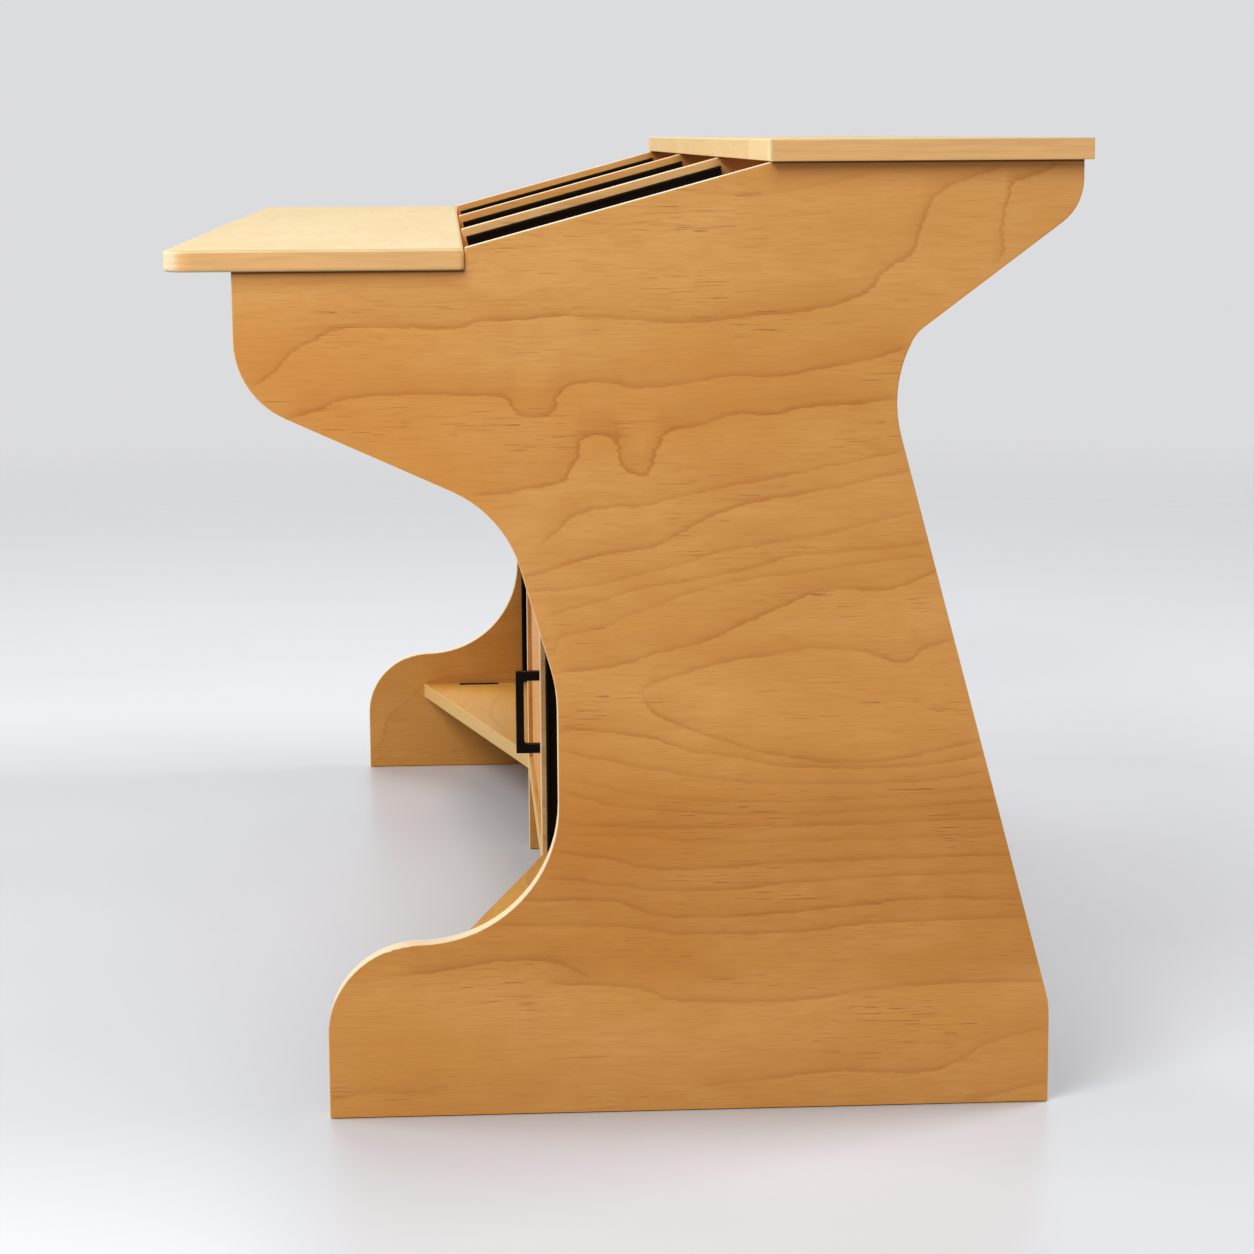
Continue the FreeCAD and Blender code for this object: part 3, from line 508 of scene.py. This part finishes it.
def floor():
    """Plain pale polished floor that fades into the background far away; near the desk it is painted paler
    and cooler against the shade and the warm light bounced from the wood.
    """
    half = 30.0
    # Near tone: painted paler, cooler cast around the desk
    painted_cool_near_tone, far_tone, white = (0.525, 0.56, 0.61, 1), (0.525, 0.54, 0.565, 1), (1.0, 1.0, 1.0, 1)
    tone_start, tone_end = 0.4, 1.5
    fade_start, fade_end = 1.2, 5.5
    cloud_cells, cloud_share = 1.6, 0.06
    smooth, dull = 0.28, 0.33
    corners = [(-half, -half, 0), (half, -half, 0), (half, half, 0), (-half, half, 0)]
    mesh = bpy.data.meshes.new("floor")
    mesh.from_pydata(corners, [], [(0, 1, 2, 3)])
    ground = bpy.data.objects.new("floor", mesh)
    bpy.context.scene.collection.objects.link(ground)

    g = Graph("pale_floor")
    cloud = g.noise(g.point, cloud_cells, detail=2)
    reach = g.calc("SQRT", g.add(g.times(g.x, g.x), g.times(g.y, g.y)))
    tone = g.mix(g.step(reach, tone_start, tone_end), painted_cool_near_tone, far_tone)
    g.put(g.shader.inputs["Base Color"], g.mix(g.times(cloud, cloud_share), tone, white))
    g.put(g.shader.inputs["Roughness"], g.step(cloud, 0.3, 0.7, smooth, dull))
    clear = g.tree.nodes.new("ShaderNodeBsdfTransparent")
    blend = g.tree.nodes.new("ShaderNodeMixShader")
    g.put(blend.inputs[0], g.step(reach, fade_start, fade_end))
    g.put(blend.inputs[1], g.shader.outputs[0])
    g.put(blend.inputs[2], clear.outputs[0])
    g.put(g.tree.nodes["Material Output"].inputs["Surface"], blend.outputs[0])
    mesh.materials.append(g.material)


def world():
    """Pale backdrop for the camera and for reflections, and a softer light all round."""
    sky = bpy.data.worlds.new("studio")
    sky.use_nodes = True
    tree = sky.node_tree
    around = tree.nodes["Background"]
    around.inputs["Color"].default_value = (0.97, 0.98, 1.0, 1)
    around.inputs["Strength"].default_value = 0.2
    backdrop = tree.nodes.new("ShaderNodeBackground")
    backdrop.inputs["Color"].default_value = (0.712, 0.714, 0.730, 1)
    path = tree.nodes.new("ShaderNodeLightPath")
    seen = path.outputs["Is Camera Ray"]
    for ray in ("Is Glossy Ray", "Is Transmission Ray"):
        either = tree.nodes.new("ShaderNodeMath")
        either.operation = "MAXIMUM"
        tree.links.new(seen, either.inputs[0])
        tree.links.new(path.outputs[ray], either.inputs[1])
        seen = either.outputs[0]
    blend = tree.nodes.new("ShaderNodeMixShader")
    tree.links.new(seen, blend.inputs[0])
    tree.links.new(around.outputs[0], blend.inputs[1])
    tree.links.new(backdrop.outputs[0], blend.inputs[2])
    tree.links.new(blend.outputs[0], tree.nodes["World Output"].inputs["Surface"])
    bpy.context.scene.world = sky


def camera():
    """Camera at the photograph's view: focal length in pixels of a 1254-pixel square frame."""
    focal, frame_size, sensor = 3092.2845, 1254.0, 36.0
    yaw, pitch, roll = 0.0576, 0.1587, -0.0064
    place = Vector((3.34244, -0.15350, 0.83995))
    level = math.cos(pitch)
    forward = Vector((-math.cos(yaw) * level, math.sin(yaw) * level, -math.sin(pitch)))
    right = Vector((math.sin(yaw), math.cos(yaw), 0))
    up = right.cross(forward)
    right_rolled = right * math.cos(roll) + up * math.sin(roll)
    up_rolled = up * math.cos(roll) - right * math.sin(roll)
    data = bpy.data.cameras.new("camera")
    data.sensor_width = sensor
    data.lens = focal / frame_size * sensor
    eye = bpy.data.objects.new("camera", data)
    turn = Matrix((right_rolled, up_rolled, -forward)).transposed().to_4x4()
    eye.matrix_world = Matrix.Translation(place) @ turn
    bpy.context.scene.collection.objects.link(eye)
    bpy.context.scene.camera = eye


# Soft square lamps: place and target in metres, side in metres, power in watts, seen in reflections or not
Lamp = namedtuple("Lamp", "name place target side power mirrored")
lamps = [
    Lamp("key", (2.8, -1.8, 3.3), (0.7, 0.05, 0.6), 1.8, 123, False),
    Lamp("back", (-3.2, -0.8, 3.4), (0.0, 0.0, 0.3), 3.0, 90, True),
    Lamp("front", (-0.3, -3.7, 3.0), (0.1, 0.0, 0.4), 2.2, 104, False),
    Lamp("rear", (-0.2, 2.8, 4.0), (0.3, 0.3, 0.2), 2.2, 178, False),
]


def area_light(lamp):
    data = bpy.data.lights.new(lamp.name, "AREA")
    data.shape = "SQUARE"
    data.size = lamp.side
    data.energy = lamp.power
    light = bpy.data.objects.new(lamp.name, data)
    light.location = lamp.place
    aim = Vector(lamp.target) - Vector(lamp.place)
    light.rotation_euler = aim.to_track_quat("-Z", "Y").to_euler()
    light.visible_glossy = lamp.mirrored
    bpy.context.scene.collection.objects.link(light)


floor()
world()
camera()
for lamp in lamps:
    area_light(lamp)
bpy.context.scene.view_settings.view_transform = "Standard"
